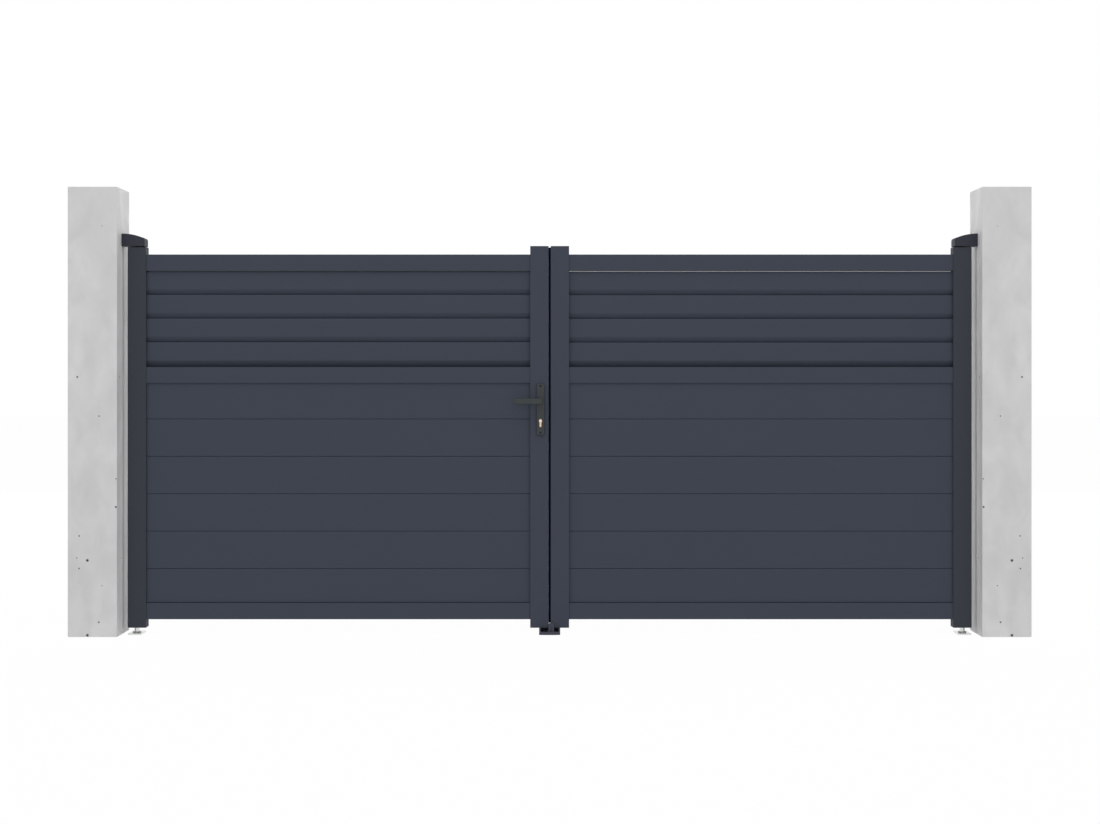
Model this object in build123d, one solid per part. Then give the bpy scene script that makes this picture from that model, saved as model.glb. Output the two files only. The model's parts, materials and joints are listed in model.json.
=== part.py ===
from build123d import *
import math
import os

os.makedirs("parts", exist_ok=True)

# Double-leaf swing gate between two square pillars, in millimetres.
# X runs along the gate to the right, Y away from the viewer, Z up.
# The origin is the middle of the left pillar's foot.

# Opening and pillars
OPENING_WIDTH = 3500.0
PILLAR_WIDTH = 200.0
PILLAR_DEPTH = 200.0
PILLAR_ARRIS = 3.0
PILLAR_RISE = 183.8

# Leaf layout
LEAF_HEIGHT = 1561.3
PILLAR_GAP = 24.0
MEETING_GAP = 9.0
GROUND_CLEARANCE = 26.4
STILE_OVERHANG = 34.2
HINGE_STILE_DROP = 3.6

# Stiles: hollow tube with a groove for the ends of boards and slats
STILE_WIDTH = 75.0
STILE_DEPTH = 50.0
STILE_WALL = 2.2
STILE_ROUND = 1.2
STILE_GROOVE_DEPTH = 12.0
STILE_GROOVE_STOP = 6.0
BOARD_END_CLEARANCE = 2.0
CAP_THICKNESS = 3.0
CAP_CHAMFER = 0.8
PLUG_DEPTH = 14.0
PLUG_CLEARANCE = 0.2

# Rails: hollow tubes that butt between the stiles
RAIL_HEIGHT = 67.0
MID_RAIL_HEIGHT = 65.3
RAIL_DEPTH = 40.0
RAIL_WALL = 2.0
RAIL_ROUND = 0.9

# Boards: hollow planks, tongue up and groove down
BOARD_COUNT = 6
BOARD_THICKNESS = 28.0
BOARD_WALL = 1.6
BOARD_CHAMBERS = 3
BOARD_FOOT_TUCK = 14.1
BOARD_HEAD_TUCK = 5.1
BOARD_ARRIS = 1.4
TONGUE_HEIGHT = 9.0
TONGUE_THICKNESS = 8.0
TONGUE_CLEARANCE = 0.3
TONGUE_HEAD_ROOM = 1.0
GROOVE_CLEARANCE = 0.3
JOINT_GAP = 1.2

# Louvre slats: hollow blades with a flat face and a foot that bends back
SLAT_COUNT = 4
SLAT_PITCH = 97.0
SLAT_HEIGHT = 103.0
SLAT_THICKNESS = 8.0
SLAT_WALL = 1.4
SLAT_FACE_Y = -11.5
SLAT_LIP = 29.0
SLAT_LIP_ANGLE = 30.0
SLAT_KNEE_RADIUS = 9.0
SLAT_HEAD_GAP = 0.6
SLAT_FOOT_ROOM = 102.0
SLAT_GROOVE_ROOM = 3.0
RIGHT_SLAT_DROP = 1.55
SLAT_END_CLEARANCE = 0.3

# Pivots
HINGE_INSET = 33.0
PIVOT_CLEARANCE = 0.06
THRUST_GAP = 0.4
BUSH_WALL = 7.0
STUD_RADIUS = 10.2
STUD_ENTRY = 30.0
STUD_CHAMFER = 1.5
PIN_RADIUS = 8.0
PIN_ENTRY = 24.0
PIN_CHAMFER = 1.0
BORE_END_ROOM = 3.0
FOOT_PLATE_WIDTH = 54.0
FOOT_PLATE_LENGTH = 92.0
FOOT_PLATE_THICKNESS = 5.0
FOOT_PLATE_CORNER = 6.0
ANCHOR_HOLE_RADIUS = 5.5
ANCHOR_HOLE_EDGE = 10.0
NUT_ACROSS_FLATS = 30.0
NUT_HEIGHT = 4.0
NUT_CHAMFER = 1.2
NUT_CLEARANCE = 0.15

# Top hinge bracket and its cover
COVER_GAP = 3.3
COVER_HEIGHT = 51.0
COVER_DEPTH = 60.0
COVER_SETBACK = 4.0
COVER_CROWN_RADIUS = 208.0
COVER_CROWN_START = 5.0
COVER_NOSE_RADIUS = 11.0
COVER_WALL = 2.6
COVER_PIN_ROOM = 3.0
COVER_EDGE_ROUND = 1.4
BRACKET_PLATE = 6.0
BRACKET_ARM = 9.0
BRACKET_ARM_DEPTH = 40.0
BRACKET_CLEARANCE = 0.4
BRACKET_PLATE_HEIGHT = 40.0

# Ground stop: open tray under the meeting stiles, with an upright blade in front of them
STOP_WIDTH = 86.0
STOP_FRONT_ROOM = 22.0
STOP_BACK_ROOM = 3.0
STOP_BOW = 3.0
STOP_FLOOR = 5.0
STOP_WALL = 6.0
STOP_WALL_HEIGHT = 20.0
STOP_LIP_HEIGHT = 12.5
STOP_CORNER = 3.0
STOP_HORN_HEIGHT = 30.0
STOP_FLANGE = 24.0
STOP_HOLE_EDGE = 13.0
STOP_LEAF_CLEARANCE = 5.0
BLADE_HEIGHT = 47.0
BLADE_WIDTH = 22.0
BLADE_SHIFT = 6.5
BLADE_THICKNESS = 3.5
BLADE_CORNER = 4.0
BLADE_RIB = 6.0
BLADE_RIB_DROP = 5.0

# Handle set and lock
BACKSET = 33.0
PLATE_WIDTH = 31.0
PLATE_HEIGHT = 209.0
PLATE_THICKNESS = 8.5
PLATE_CORNER = 5.0
PLATE_CHAMFER = 1.2
PLATE_MID_Z = 920.0
PLATE_SCREW_EDGE = 9.5
PLATE_SCREW_RADIUS = 3.6
PLATE_SCREW_RECESS = 3.0
SPINDLE_ABOVE_MID = 33.0
LOCK_CENTRES = 81.0
CYLINDER_RADIUS = 8.5
CYLINDER_WEB = 10.0
CYLINDER_HEIGHT = 33.0
CYLINDER_PROUD = 2.5
CYLINDER_CHAMFER = 0.7
CYLINDER_CLEARANCE = 0.3
PLUG_RADIUS = 6.2
PLUG_FIT = 0.15
PLUG_LENGTH = 14.0
PLUG_CHAMFER = 0.4
KEYWAY_WIDTH = 2.4
KEYWAY_HEIGHT = 8.4
KEYWAY_DROP = 1.0
KEYWAY_DEPTH = 10.0
LEVER_NECK_RADIUS = 8.0
LEVER_HEIGHT = 24.0
LEVER_REACH = 111.0
LEVER_HEEL = 9.0
LEVER_CORNER = 8.5
LEVER_THICKNESS = 14.0
LEVER_PROJECTION = 50.0
LEVER_ROUND = 5.0
SPINDLE_SIDE = 8.0
SPINDLE_CLEARANCE = 0.1
SPINDLE_SOCKET = 22.0
SPINDLE_HOLE_RADIUS = 7.0
FACEPLATE_WIDTH = 24.0
FACEPLATE_HEIGHT = 245.0
FACEPLATE_THICKNESS = 3.0
FACEPLATE_CORNER = 4.0
FACEPLATE_CLEARANCE = 0.1
LATCH_WIDTH = 11.0
LATCH_HEIGHT = 22.0
DEADBOLT_WIDTH = 9.0
DEADBOLT_HEIGHT = 30.0
BOLT_LENGTH = 18.0
BOLT_CLEARANCE = 0.2

# Meeting seal
SEAL_RUN_CLEARANCE = 1.0
SEAL_FRONT_Y = 3.0
SEAL_DEPTH = 18.0
SEAL_TOP_SETBACK = 4.0
SEAL_FOOT_SETBACK = 18.1
SEAL_ROUND = 2.0

# How far a cutting or joining shape passes the face it works on
OVERCUT = 1.0

# Places along the gate
reveal_x = PILLAR_WIDTH / 2
middle_x = reveal_x + OPENING_WIDTH / 2
hinge_edge_x = reveal_x + PILLAR_GAP
meeting_x = middle_x - MEETING_GAP / 2
hinge_stile_x = hinge_edge_x + STILE_WIDTH / 2
lock_stile_x = meeting_x - STILE_WIDTH / 2
infill_low_x = hinge_edge_x + STILE_WIDTH
infill_high_x = meeting_x - STILE_WIDTH
axis_x = hinge_edge_x + HINGE_INSET
handle_x = meeting_x - BACKSET
stile_face_y = -STILE_DEPTH / 2

# Heights
stile_foot = GROUND_CLEARANCE
stile_head = stile_foot + LEAF_HEIGHT
hinge_head = stile_head - HINGE_STILE_DROP
bottom_rail_low = stile_foot + STILE_OVERHANG
bottom_rail_high = bottom_rail_low + RAIL_HEIGHT
top_rail_high = stile_head - STILE_OVERHANG
top_rail_low = top_rail_high - RAIL_HEIGHT
slat_zone = SLAT_HEAD_GAP + (SLAT_COUNT - 1) * SLAT_PITCH + SLAT_FOOT_ROOM
mid_rail_high = top_rail_low - slat_zone
mid_rail_low = mid_rail_high - MID_RAIL_HEIGHT
board_zone = mid_rail_low + BOARD_HEAD_TUCK - bottom_rail_high + BOARD_FOOT_TUCK
board_cover = board_zone / BOARD_COUNT
cover_foot = hinge_head + COVER_GAP
pillar_height = cover_foot + COVER_HEIGHT + PILLAR_RISE

# Fits shared by the pieces
infill_groove_width = BOARD_THICKNESS + 2 * GROOVE_CLEARANCE
board_head_groove = BOARD_HEAD_TUCK + TONGUE_HEIGHT + TONGUE_HEAD_ROOM
board_foot_groove = BOARD_FOOT_TUCK - JOINT_GAP
slat_foot_groove = SLAT_HEIGHT + RIGHT_SLAT_DROP - SLAT_FOOT_ROOM + SLAT_GROOVE_ROOM
upright = (Align.CENTER, Align.CENTER, Align.MIN)


def box_between(low, high):
    """Box from its low corner to its high corner."""
    size = [high[i] - low[i] for i in range(3)]
    return Pos(*low) * Box(*size, align=(Align.MIN, Align.MIN, Align.MIN))


def to_right(piece):
    """Mirror image of a left-hand piece about the middle of the opening."""
    return mirror(piece, about=Plane.YZ.offset(middle_x))


def along_x(section, low_x, high_x):
    """Section drawn in Y and Z, run along X."""
    return extrude(Plane.YZ.offset(low_x) * section, amount=high_x - low_x)


def along_y(section, low_y, high_y):
    """Section drawn in X and Z, run along Y."""
    return extrude(Plane.XZ.offset(-high_y) * section, amount=high_y - low_y)


def pillar():
    """Square pillar with softened upright and top arrises."""
    block = box_between(
        (-PILLAR_WIDTH / 2, -PILLAR_DEPTH / 2, 0.0),
        (PILLAR_WIDTH / 2, PILLAR_DEPTH / 2, pillar_height),
    )
    corners = block.edges().filter_by(Axis.Z)
    top = block.faces().sort_by(Axis.Z)[-1].edges()
    return fillet(corners + top, PILLAR_ARRIS)


def stile_tube(head):
    """Stile up to the given head, about its own middle, with the groove on its +X side."""
    inner = STILE_DEPTH - 2 * STILE_WALL
    web_width = infill_groove_width + 2 * STILE_WALL
    web_depth = STILE_GROOVE_DEPTH + STILE_WALL
    outline = RectangleRounded(STILE_WIDTH, STILE_DEPTH, STILE_ROUND)
    chamber = Rectangle(STILE_WIDTH - 2 * STILE_WALL, inner)
    chamber -= Pos(STILE_WIDTH / 2 - web_depth / 2, 0) * Rectangle(web_depth, web_width)
    low = stile_foot + CAP_THICKNESS
    high = head - CAP_THICKNESS
    tube = extrude(Pos(0, 0, low) * (outline - chamber), amount=high - low)
    groove = box_between(
        (STILE_WIDTH / 2 - STILE_GROOVE_DEPTH, -infill_groove_width / 2, bottom_rail_low + STILE_GROOVE_STOP),
        (STILE_WIDTH / 2 + OVERCUT, infill_groove_width / 2, top_rail_high - STILE_GROOVE_STOP),
    )
    return tube - groove


def cap_plate(z_low):
    """Plate of an end cap about the stile's own middle."""
    return extrude(
        Pos(0, 0, z_low) * RectangleRounded(STILE_WIDTH, STILE_DEPTH, STILE_ROUND),
        amount=CAP_THICKNESS,
    )


def cap_plug(z_low, height):
    """Plug that fills the main chamber of a stile, drawn for the groove on the +X side."""
    low_x = -STILE_WIDTH / 2 + STILE_WALL + PLUG_CLEARANCE
    high_x = STILE_WIDTH / 2 - STILE_GROOVE_DEPTH - STILE_WALL - PLUG_CLEARANCE
    half = STILE_DEPTH / 2 - STILE_WALL - PLUG_CLEARANCE
    return box_between((low_x, -half, z_low), (high_x, half, z_low + height))


def end_caps(head, plug_low, plug_high):
    """Foot and head caps of a stile with plugs of the given depths."""
    foot_cap = cap_plate(stile_foot) + cap_plug(stile_foot + CAP_THICKNESS, plug_low)
    head_cap = cap_plate(head - CAP_THICKNESS)
    head_cap += cap_plug(head - CAP_THICKNESS - plug_high, plug_high)
    foot_cap = chamfer(foot_cap.faces().sort_by(Axis.Z)[0].edges(), CAP_CHAMFER)
    head_cap = chamfer(head_cap.faces().sort_by(Axis.Z)[-1].edges(), CAP_CHAMFER)
    return foot_cap, head_cap


def rail(z_low, height, foot_groove, head_groove):
    """Rail section with optional grooves below and above, between the stiles."""
    outline = Pos(0, z_low + height / 2) * RectangleRounded(RAIL_DEPTH, height, RAIL_ROUND)
    chamber_low = z_low + RAIL_WALL + foot_groove
    chamber_high = z_low + height - RAIL_WALL - head_groove
    chamber = Pos(0, (chamber_low + chamber_high) / 2) * Rectangle(
        RAIL_DEPTH - 2 * RAIL_WALL, chamber_high - chamber_low
    )
    section = outline - chamber
    if foot_groove > 0:
        section -= Pos(0, z_low + foot_groove / 2) * Rectangle(infill_groove_width, foot_groove)
    if head_groove > 0:
        section -= Pos(0, z_low + height - head_groove / 2) * Rectangle(
            infill_groove_width, head_groove
        )
    return along_x(section, infill_low_x, infill_high_x)


def board_section():
    """Board section in Y and Z with its cover face from 0 to board_cover."""
    body_height = board_cover - JOINT_GAP
    body = Pos(0, JOINT_GAP + body_height / 2) * Rectangle(BOARD_THICKNESS, body_height)
    body = chamfer(body.vertices(), BOARD_ARRIS)
    tongue = Pos(0, board_cover + TONGUE_HEIGHT / 2) * Rectangle(TONGUE_THICKNESS, TONGUE_HEIGHT)
    slot_height = TONGUE_HEIGHT + TONGUE_CLEARANCE + JOINT_GAP
    slot = Pos(0, slot_height / 2) * Rectangle(
        TONGUE_THICKNESS + 2 * TONGUE_CLEARANCE, slot_height
    )
    section = body + tongue - slot
    chambers_low = slot_height + BOARD_WALL
    chamber_step = (board_cover - chambers_low) / BOARD_CHAMBERS
    for i in range(BOARD_CHAMBERS):
        chamber_height = chamber_step - BOARD_WALL
        chamber_mid = chambers_low + i * chamber_step + chamber_height / 2
        section -= Pos(0, chamber_mid) * Rectangle(BOARD_THICKNESS - 2 * BOARD_WALL, chamber_height)
    return section


def boards():
    """All boards of a leaf, from the bottom rail's groove to the middle rail's."""
    section = board_section()
    low_x = infill_low_x - STILE_GROOVE_DEPTH + BOARD_END_CLEARANCE
    high_x = infill_high_x + STILE_GROOVE_DEPTH - BOARD_END_CLEARANCE
    found = []
    for i in range(BOARD_COUNT):
        foot = bottom_rail_high - BOARD_FOOT_TUCK + i * board_cover
        found.append(along_x(Pos(0, foot) * section, low_x, high_x))
    return Compound(children=found)


def slat_section():
    """Slat section in Y and Z, its head at height 0, its foot bent to the back."""
    half = SLAT_THICKNESS / 2
    core_y = SLAT_FACE_Y + half
    lip_back = (SLAT_LIP - half) * math.tan(math.radians(SLAT_LIP_ANGLE))
    core = FilletPolyline(
        (core_y, -half),
        (core_y, SLAT_LIP - SLAT_HEIGHT),
        (core_y + lip_back, half - SLAT_HEIGHT),
        radius=SLAT_KNEE_RADIUS,
    )
    outline = SlotArc(core, SLAT_THICKNESS)
    hollow = SlotArc(core, SLAT_THICKNESS - 2 * SLAT_WALL)
    web = Pos(core_y, -SLAT_HEIGHT / 2) * Rectangle(SLAT_THICKNESS, SLAT_WALL)
    return outline - (hollow - web)


def slats(drop):
    """All louvre slats of a leaf, hung from the top rail and lowered by drop."""
    section = slat_section()
    low_x = infill_low_x - STILE_GROOVE_DEPTH + SLAT_END_CLEARANCE
    high_x = infill_high_x + STILE_GROOVE_DEPTH - SLAT_END_CLEARANCE
    found = []
    for i in range(SLAT_COUNT):
        head = top_rail_low - SLAT_HEAD_GAP - drop - i * SLAT_PITCH
        found.append(along_x(Pos(0, head) * section, low_x, high_x))
    return Compound(children=found)


def cover_outline(inset):
    """Side outline of the hinge cover, from the pillar's reveal, inset by a wall."""
    length = PILLAR_GAP + STILE_WIDTH - COVER_SETBACK - inset
    top = COVER_HEIGHT - inset
    radius = COVER_CROWN_RADIUS - inset
    run = length - COVER_CROWN_START
    end_height = top - radius + math.sqrt(radius**2 - run**2)
    half_run = run / 2
    half_height = top - radius + math.sqrt(radius**2 - half_run**2)
    lines = Polyline((COVER_CROWN_START, top), (0, top), (0, 0), (length, 0), (length, end_height))
    crown = ThreePointArc(
        (length, end_height), (COVER_CROWN_START + half_run, half_height), (COVER_CROWN_START, top)
    )
    face = make_face(lines + crown)
    nose = face.vertices().group_by(Axis.X)[-1].sort_by(Axis.Y)[-1]
    return fillet(nose, COVER_NOSE_RADIUS - inset)


def hinge_cover():
    """Moulded cover over the top hinge, open to the pillar and under the pin."""
    at = Pos(reveal_x, 0, cover_foot)
    shell = along_y(cover_outline(0), -COVER_DEPTH / 2, COVER_DEPTH / 2)
    rims = shell.faces().sort_by(Axis.Y)
    edges = rims[0].edges() + rims[-1].edges()
    edges = [e for e in edges if e.center().X > COVER_EDGE_ROUND and e.center().Z > COVER_EDGE_ROUND]
    shell = fillet(edges, COVER_EDGE_ROUND)
    inner_half = COVER_DEPTH / 2 - COVER_WALL
    shell -= along_y(cover_outline(COVER_WALL), -inner_half, inner_half)
    floor_end = PILLAR_GAP + HINGE_INSET - PIN_RADIUS - COVER_PIN_ROOM
    shell += box_between((0, -inner_half, 0), (floor_end, inner_half, COVER_WALL))
    return at * shell


def hinge_bracket():
    """Wall plate, arm and pin of the top hinge."""
    low = cover_foot + COVER_WALL + BRACKET_CLEARANCE
    half = BRACKET_ARM_DEPTH / 2
    plate = box_between(
        (reveal_x, -half, low), (reveal_x + BRACKET_PLATE, half, low + BRACKET_PLATE_HEIGHT)
    )
    arm = box_between((reveal_x, -half, low), (axis_x, half, low + BRACKET_ARM))
    arm += Pos(axis_x, 0, low) * Cylinder(half, BRACKET_ARM, align=upright)
    pin_foot = hinge_head - PIN_ENTRY
    pin = Pos(axis_x, 0, pin_foot) * Cylinder(PIN_RADIUS, low - pin_foot, align=upright)
    pin = chamfer(pin.edges().sort_by(Axis.Z)[0], PIN_CHAMFER)
    return plate + arm + pin


def pivot_bushes():
    """End blocks of the hinge stile with the bores for stud and pin."""
    at = Pos(hinge_stile_x, 0, 0)
    foot, head = end_caps(hinge_head, STUD_ENTRY + BUSH_WALL, PIN_ENTRY + BUSH_WALL)
    stud_bore = Pos(axis_x, 0, stile_foot - OVERCUT) * Cylinder(
        STUD_RADIUS + PIVOT_CLEARANCE, STUD_ENTRY + THRUST_GAP + OVERCUT, align=upright
    )
    pin_bore_low = hinge_head - PIN_ENTRY - BORE_END_ROOM
    pin_bore = Pos(axis_x, 0, pin_bore_low) * Cylinder(
        PIN_RADIUS + PIVOT_CLEARANCE, PIN_ENTRY + BORE_END_ROOM + OVERCUT, align=upright
    )
    return Compound(children=[at * foot - stud_bore, at * head - pin_bore])


def stile_caps():
    """End caps of the lock stile, whose groove faces -X."""
    at = Pos(lock_stile_x, 0, 0) * Rot(0, 0, 180)
    foot, head = end_caps(stile_head, PLUG_DEPTH, PLUG_DEPTH)
    return Compound(children=[at * foot, at * head])


def anchor_hole(thickness):
    """Cutting cylinder for a ground anchor through a plate that stands on the ground."""
    return Pos(0, 0, -OVERCUT) * Cylinder(
        ANCHOR_HOLE_RADIUS, thickness + 2 * OVERCUT, align=upright
    )


def bottom_pivot():
    """Ground plate with two anchor holes and the stud that carries the leaf."""
    plate = extrude(
        RectangleRounded(FOOT_PLATE_WIDTH, FOOT_PLATE_LENGTH, FOOT_PLATE_CORNER),
        amount=FOOT_PLATE_THICKNESS,
    )
    for side in (-1, 1):
        hole_y = side * (FOOT_PLATE_LENGTH / 2 - ANCHOR_HOLE_EDGE)
        plate -= Pos(0, hole_y, 0) * anchor_hole(FOOT_PLATE_THICKNESS)
    stud = Cylinder(STUD_RADIUS, stile_foot + STUD_ENTRY, align=upright)
    stud = chamfer(stud.edges().sort_by(Axis.Z)[-1], STUD_CHAMFER)
    return Pos(axis_x, 0, 0) * (plate + stud)


def pivot_nut():
    """Thin hexagon nut that stands on the ground plate round the stud."""
    corner_radius = NUT_ACROSS_FLATS / 2 / math.cos(math.radians(30))
    flats = RegularPolygon(corner_radius, 6)
    nut = extrude(flats - Circle(STUD_RADIUS + NUT_CLEARANCE), amount=NUT_HEIGHT)
    turned = Cylinder(corner_radius, NUT_HEIGHT, align=upright)
    turned = chamfer(turned.edges().sort_by(Axis.Z)[-1], NUT_CHAMFER)
    return Pos(axis_x, 0, FOOT_PLATE_THICKNESS) * (nut & turned)


def stop_tray():
    """Tray of the ground stop with a low front lip, a horn at each side and an anchor flange."""
    half = STOP_WIDTH / 2
    front = stile_face_y - STOP_FRONT_ROOM
    back = STILE_DEPTH / 2 + STOP_BACK_ROOM
    shoulder = front + STOP_BOW
    sides = Polyline((-half, shoulder), (-half, back), (half, back), (half, shoulder))
    bow = ThreePointArc((half, shoulder), (0, front), (-half, shoulder))
    outline = make_face(sides + bow)
    tray = extrude(outline, amount=STOP_HORN_HEIGHT)
    tray = fillet(tray.edges().filter_by(Axis.Z).sort_by(Axis.Y)[:2], STOP_CORNER)
    pocket = extrude(offset(outline, amount=-STOP_WALL), amount=STOP_HORN_HEIGHT)
    tray -= Pos(0, 0, STOP_FLOOR) * pocket
    tray -= box_between(
        (STOP_WALL - half, front - OVERCUT, STOP_LIP_HEIGHT),
        (half - STOP_WALL, shoulder + STOP_WALL, STOP_HORN_HEIGHT + OVERCUT),
    )
    tray -= box_between(
        (-half - OVERCUT, stile_face_y - STOP_LEAF_CLEARANCE, STOP_WALL_HEIGHT),
        (half + OVERCUT, back + OVERCUT, STOP_HORN_HEIGHT + OVERCUT),
    )
    flange = box_between((-half, back - OVERCUT, 0), (half, back + STOP_FLANGE, STOP_FLOOR))
    flange = fillet(flange.edges().filter_by(Axis.Z).sort_by(Axis.Y)[-2:], STOP_CORNER)
    for side in (-1, 1):
        hole_x = side * (half - STOP_HOLE_EDGE)
        flange -= Pos(hole_x, back + STOP_FLANGE / 2, 0) * anchor_hole(STOP_FLOOR)
    return tray + flange


def stop_blade():
    """Upright blade that the leaves close against, with a rib at each side."""
    low_x = BLADE_SHIFT - BLADE_WIDTH / 2
    high_x = BLADE_SHIFT + BLADE_WIDTH / 2
    back_y = stile_face_y - STOP_LEAF_CLEARANCE
    face_y = back_y - BLADE_THICKNESS
    foot_z = STOP_FLOOR - OVERCUT
    blade = box_between((low_x, face_y, foot_z), (high_x, back_y, BLADE_HEIGHT))
    blade = fillet(blade.edges().filter_by(Axis.Y).sort_by(Axis.Z)[-2:], BLADE_CORNER)
    rib_head = BLADE_HEIGHT - BLADE_RIB_DROP
    rib = Polygon(
        (stile_face_y - STOP_FRONT_ROOM + STOP_WALL, foot_z),
        (face_y + OVERCUT, foot_z),
        (face_y + OVERCUT, rib_head),
        (face_y, rib_head),
        align=None,
    )
    for rib_x in (low_x, high_x - BLADE_RIB):
        blade += along_x(rib, rib_x, rib_x + BLADE_RIB)
    return blade


def ground_stop():
    """Cast stop: tray with horns beside the stiles, and the blade between them."""
    return Pos(middle_x, 0, 0) * (stop_tray() + stop_blade())


def cylinder_outline(clearance):
    """Profile of the lock cylinder, its round part about the origin."""
    foot_radius = CYLINDER_WEB / 2
    drop = CYLINDER_HEIGHT - CYLINDER_RADIUS - foot_radius
    outline = Circle(CYLINDER_RADIUS + clearance)
    outline += Pos(0, -drop / 2) * Rectangle(CYLINDER_WEB + 2 * clearance, drop)
    outline += Pos(0, -drop) * Circle(foot_radius + clearance)
    return outline


spindle_z = PLATE_MID_Z + SPINDLE_ABOVE_MID
cylinder_z = spindle_z - LOCK_CENTRES
plate_face_y = stile_face_y - PLATE_THICKNESS
grip_face_y = stile_face_y - LEVER_PROJECTION
grip_back_y = grip_face_y + LEVER_THICKNESS


def handle_plate():
    """Front handle plate with its neck bore, cylinder cut-out and screw recesses."""
    outline = Pos(handle_x, PLATE_MID_Z) * RectangleRounded(PLATE_WIDTH, PLATE_HEIGHT, PLATE_CORNER)
    plate = along_y(outline, plate_face_y, stile_face_y)
    plate = chamfer(plate.faces().sort_by(Axis.Y)[0].edges(), PLATE_CHAMFER)
    neck = Pos(handle_x, spindle_z) * Circle(LEVER_NECK_RADIUS + PIVOT_CLEARANCE)
    plate -= along_y(neck, plate_face_y - OVERCUT, stile_face_y + OVERCUT)
    profile = Pos(handle_x, cylinder_z) * cylinder_outline(CYLINDER_CLEARANCE)
    plate -= along_y(profile, plate_face_y - OVERCUT, stile_face_y + OVERCUT)
    for side in (-1, 1):
        recess_z = PLATE_MID_Z + side * (PLATE_HEIGHT / 2 - PLATE_SCREW_EDGE)
        recess = Pos(handle_x, recess_z) * Circle(PLATE_SCREW_RADIUS)
        plate -= along_y(recess, plate_face_y - OVERCUT, plate_face_y + PLATE_SCREW_RECESS)
    return plate


def lever():
    """Front lever: round neck through the plate and a rounded grip to the left."""
    grip_mid_x = handle_x + (LEVER_HEEL - LEVER_REACH) / 2
    grip_outline = Pos(grip_mid_x, spindle_z) * RectangleRounded(
        LEVER_REACH + LEVER_HEEL, LEVER_HEIGHT, LEVER_CORNER
    )
    grip = along_y(grip_outline, grip_face_y, grip_back_y)
    rims = grip.faces().sort_by(Axis.Y)
    grip = fillet(rims[0].edges() + rims[-1].edges(), LEVER_ROUND)
    neck = along_y(
        Pos(handle_x, spindle_z) * Circle(LEVER_NECK_RADIUS),
        grip_back_y - LEVER_ROUND,
        stile_face_y - PIVOT_CLEARANCE,
    )
    socket_side = SPINDLE_SIDE + 2 * SPINDLE_CLEARANCE
    socket = along_y(
        Pos(handle_x, spindle_z) * Rectangle(socket_side, socket_side),
        stile_face_y - SPINDLE_SOCKET,
        stile_face_y + OVERCUT,
    )
    return grip + neck - socket


def lever_spindle():
    """Square bar that joins the two levers."""
    end = STILE_DEPTH / 2 + SPINDLE_SOCKET - SPINDLE_CLEARANCE
    return along_y(
        Pos(handle_x, spindle_z) * Rectangle(SPINDLE_SIDE, SPINDLE_SIDE), -end, end
    )


def cylinder_end():
    """Distance of the cylinder's end faces from the leaf's middle plane."""
    return STILE_DEPTH / 2 + PLATE_THICKNESS + CYLINDER_PROUD


def lock_cylinder():
    """Profile cylinder through both plates, bored at each end for its plug."""
    end = cylinder_end()
    body = along_y(Pos(handle_x, cylinder_z) * cylinder_outline(0.0), -end, end)
    ends = body.faces().sort_by(Axis.Y)
    body = chamfer(ends[0].edges() + ends[-1].edges(), CYLINDER_CHAMFER)
    bore = Pos(handle_x, cylinder_z) * Circle(PLUG_RADIUS + PLUG_FIT)
    body -= along_y(bore, -end - OVERCUT, -end + PLUG_LENGTH)
    body -= along_y(bore, end - PLUG_LENGTH, end + OVERCUT)
    return body


def key_plug():
    """Round plug in the front end of the cylinder, with its keyway."""
    end = cylinder_end()
    plug = along_y(Pos(handle_x, cylinder_z) * Circle(PLUG_RADIUS), -end, -end + PLUG_LENGTH)
    plug = chamfer(plug.edges().sort_by(Axis.Y)[0], PLUG_CHAMFER)
    keyway = Pos(handle_x, cylinder_z - KEYWAY_DROP) * Rectangle(KEYWAY_WIDTH, KEYWAY_HEIGHT)
    return plug - along_y(keyway, -end - OVERCUT, -end + KEYWAY_DEPTH)


def faceplate_outline(clearance):
    """Outline of the plate in the meeting edge, in Y and Z."""
    return Pos(0, (spindle_z + cylinder_z) / 2) * RectangleRounded(
        FACEPLATE_WIDTH + 2 * clearance, FACEPLATE_HEIGHT + 2 * clearance, FACEPLATE_CORNER
    )


def bolt_outlines(clearance):
    """Outlines of latch and deadbolt in Y and Z."""
    latch = Pos(0, spindle_z) * Rectangle(LATCH_WIDTH + 2 * clearance, LATCH_HEIGHT + 2 * clearance)
    deadbolt = Pos(0, cylinder_z) * Rectangle(
        DEADBOLT_WIDTH + 2 * clearance, DEADBOLT_HEIGHT + 2 * clearance
    )
    return latch, deadbolt


def faceplate():
    """Plate let into the meeting edge, with windows for latch and deadbolt."""
    outline = faceplate_outline(0.0)
    for window in bolt_outlines(BOLT_CLEARANCE):
        outline -= window
    return along_x(outline, meeting_x - FACEPLATE_THICKNESS, meeting_x)


def lock_bolts():
    """Latch and deadbolt, drawn back level with the faceplate."""
    return Compound(
        children=[along_x(bolt, meeting_x - BOLT_LENGTH, meeting_x) for bolt in bolt_outlines(0.0)]
    )


def lock_stile():
    """Lock stile with a pocket for the plate in its meeting edge."""
    pocket = along_x(
        faceplate_outline(FACEPLATE_CLEARANCE), meeting_x - FACEPLATE_THICKNESS, meeting_x + OVERCUT
    )
    return Pos(lock_stile_x, 0, 0) * Rot(0, 0, 180) * stile_tube(stile_head) - pocket


def lock_stile_with_lock():
    """Lock stile of the left leaf, pierced for spindle and cylinder."""
    stile = lock_stile()
    spindle_hole = Pos(handle_x, spindle_z) * Circle(SPINDLE_HOLE_RADIUS)
    stile -= along_y(spindle_hole, -STILE_DEPTH, STILE_DEPTH)
    profile = Pos(handle_x, cylinder_z) * cylinder_outline(CYLINDER_CLEARANCE)
    stile -= along_y(profile, -STILE_DEPTH, STILE_DEPTH)
    return stile


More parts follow.
